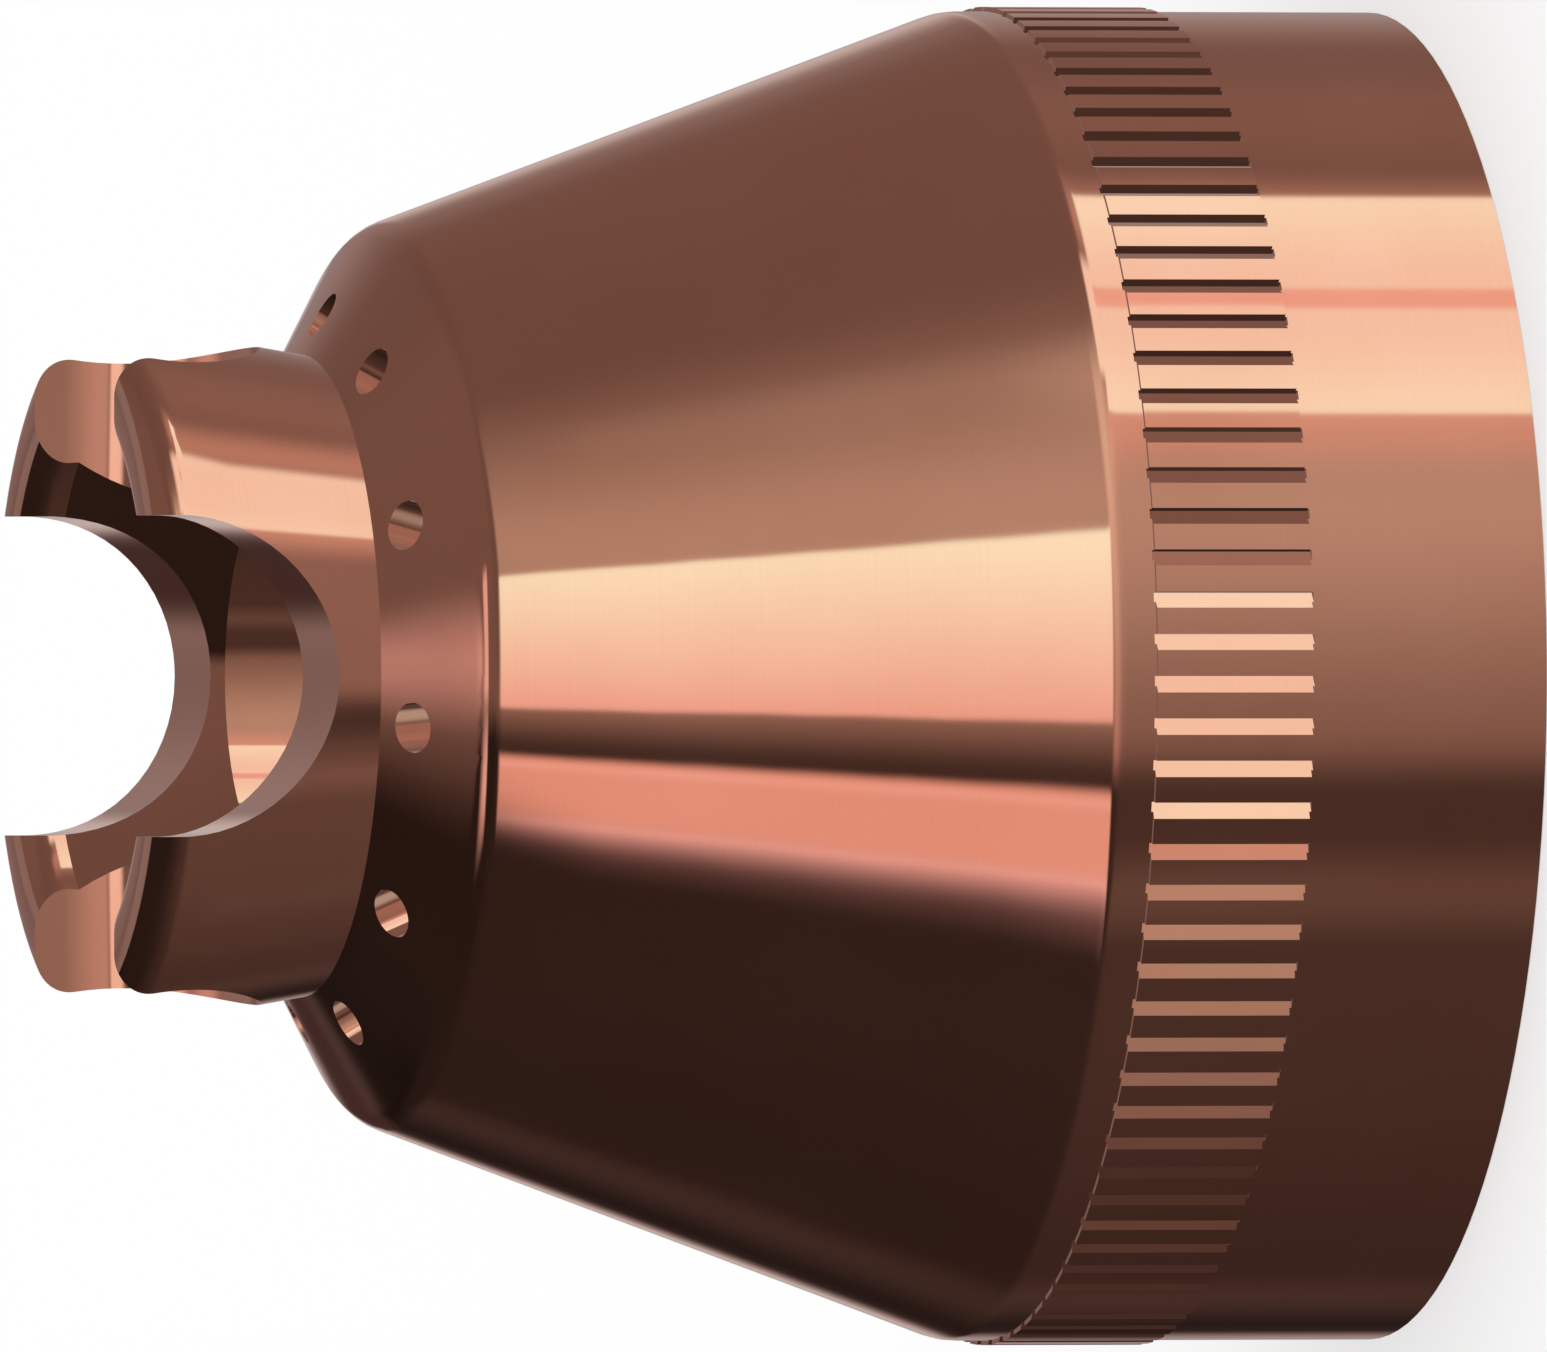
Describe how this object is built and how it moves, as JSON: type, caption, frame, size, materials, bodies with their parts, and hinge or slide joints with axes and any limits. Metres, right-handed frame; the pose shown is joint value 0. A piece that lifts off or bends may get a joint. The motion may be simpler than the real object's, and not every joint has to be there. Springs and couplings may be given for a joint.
{
  "type": "plasma torch shield",
  "caption": "Conical copper shield for a plasma cutting torch, with a notched nose, vent holes round the shoulder, a ribbed grip band and a threaded socket in its base.",
  "frame": {"origin": "centre of the base rim, on the plane that the shield stands on", "axes": "+Z along the turning axis, from the open base to the notched nose; +X through the first vent hole and the middle of a notch"},
  "size_m": [0.032, 0.032, 0.0319],
  "materials": {
    "copper": "bare copper, polished on the lathe"
  },
  "bodies": {
    "root": {"shield": "copper"}
  },
  "joints": []
}
